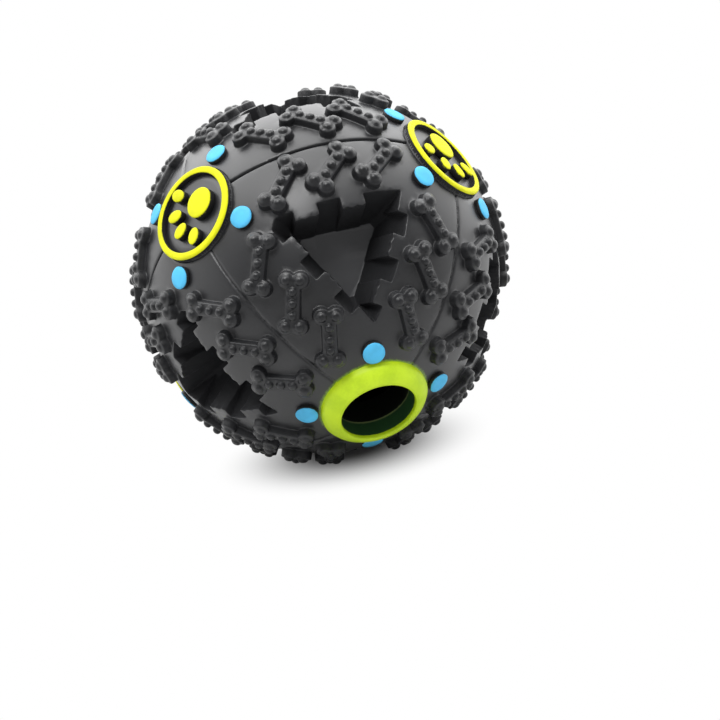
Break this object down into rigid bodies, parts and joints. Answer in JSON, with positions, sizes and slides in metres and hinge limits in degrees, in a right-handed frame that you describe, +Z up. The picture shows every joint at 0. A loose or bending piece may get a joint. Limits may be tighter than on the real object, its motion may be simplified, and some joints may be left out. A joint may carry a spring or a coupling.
{
  "type": "treat dispensing ball",
  "caption": "Hollow rubber pet toy ball with toothed pockets, bone ribs, paw medallions and a collared treat mouth; a sliding reed inside groans as it rolls.",
  "frame": {"origin": "on the floor under the ball's centre, at the bottom of its box, with the ball resting on the bone ribs round one pocket", "axes": "+Z up, away from the floor; -Y to the front, the side the treat mouth looks to, low and forward; +X to the right seen from the front"},
  "size_m": [0.1188, 0.1182, 0.1147],
  "materials": {
    "shell_rubber": "satin moulded black rubber",
    "collar_green": "satin lime green rubber",
    "medallion_yellow": "satin yellow rubber",
    "stud_blue": "satin light blue rubber",
    "tube_plastic": "pale moulded plastic",
    "cap_plastic": "pale moulded plastic",
    "bumper_rubber": "soft pad",
    "carrier_plastic": "moulded plastic",
    "weight_steel": "turned ring",
    "reed_brass": "thin strip"
  },
  "bodies": {
    "ball": {"front_shell": "shell_rubber", "rear_shell": "shell_rubber", "mouth_collar": "collar_green", "sound_tube": "tube_plastic", "sound_cap": "cap_plastic", "rear_bumper": "bumper_rubber", "ring_upper_left": "medallion_yellow", "paw_upper_left": "medallion_yellow", "ring_upper_right": "medallion_yellow", "paw_upper_right": "medallion_yellow", "ring_lower_right": "medallion_yellow", "paw_lower_right": "medallion_yellow", "ring_lower_left": "medallion_yellow", "paw_lower_left": "medallion_yellow", "ring_rear": "medallion_yellow", "paw_rear": "medallion_yellow", "studs_upper_left": "stud_blue", "studs_upper_right": "stud_blue", "studs_lower_right": "stud_blue", "studs_lower_left": "stud_blue", "studs_rear": "stud_blue", "studs_mouth": "stud_blue"},
    "slider": {"reed_carrier": "carrier_plastic", "slider_weight": "weight_steel", "reed": "reed_brass"}
  },
  "joints": [
    {"name": "reed_slide", "type": "slide", "parent": "ball", "child": "slider", "axis": [0, 0.8165, 0.5773], "range_m": [0, 0.0224]}
  ]
}
